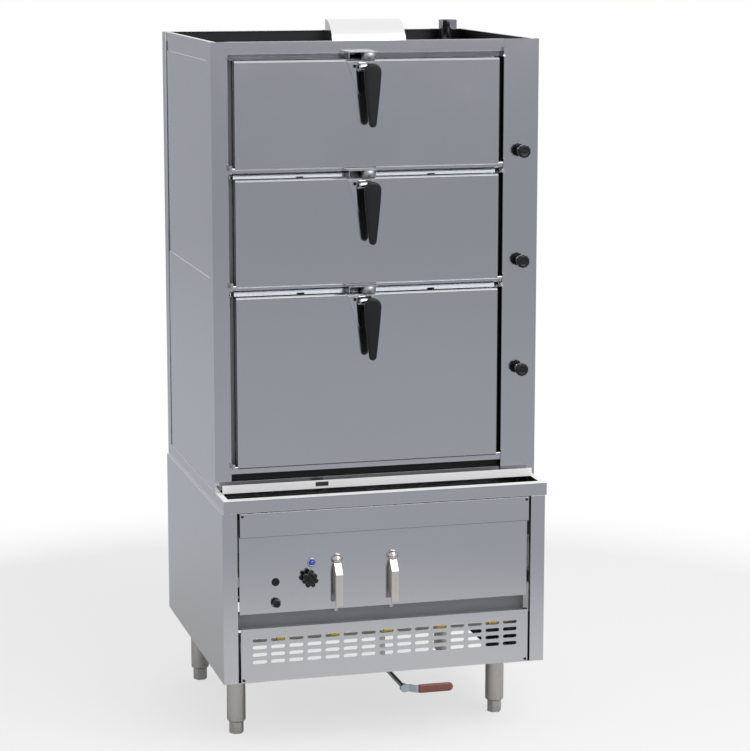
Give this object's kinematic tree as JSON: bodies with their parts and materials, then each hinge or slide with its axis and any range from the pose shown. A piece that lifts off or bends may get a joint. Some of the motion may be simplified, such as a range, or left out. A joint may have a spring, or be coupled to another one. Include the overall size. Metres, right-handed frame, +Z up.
{
  "type": "steamer cabinet",
  "caption": "Tall gas steam cabinet: drop-down doors with blade latches over a water-tank base with lever taps, a vent grille and round legs.",
  "frame": {"origin": "on the floor, under the middle of the object's bounding box", "axes": "+Z up, the doors face -Y, +X is on the right seen from the front"},
  "size_m": [0.9046, 0.8346, 1.936],
  "materials": {
    "bright_steel": "smooth polished stainless sheet",
    "satin_steel": "satin stainless and plated fittings",
    "inner_steel": "mill finish stainless inside the compartments",
    "chrome": "polished cast lever parts",
    "brass": "bare brass pipe and valve",
    "burner_iron": "dull burner tube",
    "black_plastic": "moulded black handle plastic",
    "seal_rubber": "matte black seal",
    "blue_lens": "translucent blue lens with a bright rim",
    "red_vinyl": "dipped red-brown vinyl"
  },
  "bodies": {
    "cabinet": {"base_back_panel": "satin_steel", "base_left_side": "bright_steel", "base_right_side": "bright_steel", "bottom_rail": "bright_steel", "burner_frame": "burner_iron", "ceiling_plate": "inner_steel", "compartment_liner": "inner_steel", "control_panel": "bright_steel", "drain_valve": "satin_steel", "fascia_strip": "bright_steel", "flue_duct": "bright_steel", "gas_rail": "brass", "gutter_deck": "bright_steel", "head_rail": "bright_steel", "indicator_lamp": "blue_lens", "left_stile": "bright_steel", "left_tap_body": "satin_steel", "leg_front_left": "satin_steel", "leg_front_right": "satin_steel", "leg_rear_left": "satin_steel", "leg_rear_right": "satin_steel", "lower_divider_rail": "bright_steel", "lower_shelf": "inner_steel", "right_stile": "bright_steel", "right_tap_body": "satin_steel", "steam_riser": "satin_steel", "upper_back_panel": "bright_steel", "upper_divider_rail": "bright_steel", "upper_left_side": "bright_steel", "upper_right_side": "bright_steel", "upper_shelf": "inner_steel", "vent_grille": "bright_steel", "vent_pipe": "satin_steel", "water_tank": "inner_steel"},
    "top_door": {"top_door": "bright_steel", "top_door_seal": "seal_rubber", "top_latch_base": "chrome"},
    "top_latch_handle": {"top_latch_handle": "black_plastic"},
    "middle_door": {"middle_door": "bright_steel", "middle_door_seal": "seal_rubber", "middle_latch_base": "chrome"},
    "middle_latch_handle": {"middle_latch_handle": "black_plastic"},
    "bottom_door": {"bottom_door": "bright_steel", "bottom_door_seal": "seal_rubber", "bottom_latch_base": "chrome"},
    "bottom_latch_handle": {"bottom_latch_handle": "black_plastic"},
    "bottom_steam_knob": {"bottom_steam_knob": "black_plastic"},
    "middle_steam_knob": {"middle_steam_knob": "black_plastic"},
    "top_steam_knob": {"top_steam_knob": "black_plastic"},
    "gas_knob": {"gas_knob": "black_plastic"},
    "switch_button": {"switch_button": "black_plastic"},
    "igniter_button": {"igniter_button": "black_plastic"},
    "left_tap_lever": {"left_tap_lever": "chrome"},
    "right_tap_lever": {"right_tap_lever": "chrome"},
    "drain_lever": {"drain_lever": "satin_steel", "drain_grip": "red_vinyl"},
    "foot_front_left": {"foot_front_left": "satin_steel"},
    "foot_front_right": {"foot_front_right": "satin_steel"},
    "foot_rear_left": {"foot_rear_left": "satin_steel"},
    "foot_rear_right": {"foot_rear_right": "satin_steel"}
  },
  "joints": [
    {"name": "top_door_hinge", "type": "hinge", "parent": "cabinet", "child": "top_door", "pos_m": [-0.02725, -0.29875, 1.575], "axis": [1, 0, 0], "range_deg": [0, 90]},
    {"name": "top_latch_pull", "type": "hinge", "parent": "top_door", "child": "top_latch_handle", "pos_m": [-0.02725, -0.32475, 1.8385], "axis": [-1, 0, 0], "range_deg": [0, 45]},
    {"name": "middle_door_hinge", "type": "hinge", "parent": "cabinet", "child": "middle_door", "pos_m": [-0.02725, -0.29875, 1.264], "axis": [1, 0, 0], "range_deg": [0, 90]},
    {"name": "middle_latch_pull", "type": "hinge", "parent": "middle_door", "child": "middle_latch_handle", "pos_m": [-0.02725, -0.32475, 1.5275], "axis": [-1, 0, 0], "range_deg": [0, 45]},
    {"name": "bottom_door_hinge", "type": "hinge", "parent": "cabinet", "child": "bottom_door", "pos_m": [-0.02725, -0.29875, 0.775], "axis": [1, 0, 0], "range_deg": [0, 90]},
    {"name": "bottom_latch_pull", "type": "hinge", "parent": "bottom_door", "child": "bottom_latch_handle", "pos_m": [-0.02725, -0.32475, 1.2165], "axis": [-1, 0, 0], "range_deg": [0, 45]},
    {"name": "bottom_steam_knob_turn", "type": "hinge", "parent": "cabinet", "child": "bottom_steam_knob", "pos_m": [0.40325, -0.28275, 1.008], "axis": [0, -1, 0], "range_deg": [0, 540]},
    {"name": "middle_steam_knob_turn", "type": "hinge", "parent": "cabinet", "child": "middle_steam_knob", "pos_m": [0.40325, -0.28275, 1.3065], "axis": [0, -1, 0], "range_deg": [0, 540]},
    {"name": "top_steam_knob_turn", "type": "hinge", "parent": "cabinet", "child": "top_steam_knob", "pos_m": [0.40325, -0.28275, 1.605], "axis": [0, -1, 0], "range_deg": [0, 540]},
    {"name": "gas_knob_turn", "type": "hinge", "parent": "cabinet", "child": "gas_knob", "pos_m": [-0.2155, -0.38035, 0.48], "axis": [0, -1, 0], "range_deg": [0, 180]},
    {"name": "switch_button_press", "type": "slide", "parent": "cabinet", "child": "switch_button", "axis": [0, 1, 0], "range_m": [0, 0.003], "stiffness_N_per_m": 400},
    {"name": "igniter_button_press", "type": "slide", "parent": "cabinet", "child": "igniter_button", "axis": [0, 1, 0], "range_m": [0, 0.003], "stiffness_N_per_m": 400},
    {"name": "left_tap_turn", "type": "hinge", "parent": "cabinet", "child": "left_tap_lever", "pos_m": [-0.1375, -0.38035, 0.527], "axis": [0, -1, 0], "range_deg": [0, 90]},
    {"name": "right_tap_turn", "type": "hinge", "parent": "cabinet", "child": "right_tap_lever", "pos_m": [0.0175, -0.38035, 0.527], "axis": [0, -1, 0], "range_deg": [0, 90]},
    {"name": "drain_lever_turn", "type": "hinge", "parent": "cabinet", "child": "drain_lever", "pos_m": [0.0485, -0.39775, 0.155], "axis": [0, 1, 0], "range_deg": [0, 90]},
    {"name": "foot_front_left_slide", "type": "slide", "parent": "cabinet", "child": "foot_front_left", "axis": [0, 0, -1], "range_m": [0, 0.02]},
    {"name": "foot_front_right_slide", "type": "slide", "parent": "cabinet", "child": "foot_front_right", "axis": [0, 0, -1], "range_m": [0, 0.02]},
    {"name": "foot_rear_left_slide", "type": "slide", "parent": "cabinet", "child": "foot_rear_left", "axis": [0, 0, -1], "range_m": [0, 0.02]},
    {"name": "foot_rear_right_slide", "type": "slide", "parent": "cabinet", "child": "foot_rear_right", "axis": [0, 0, -1], "range_m": [0, 0.02]}
  ]
}
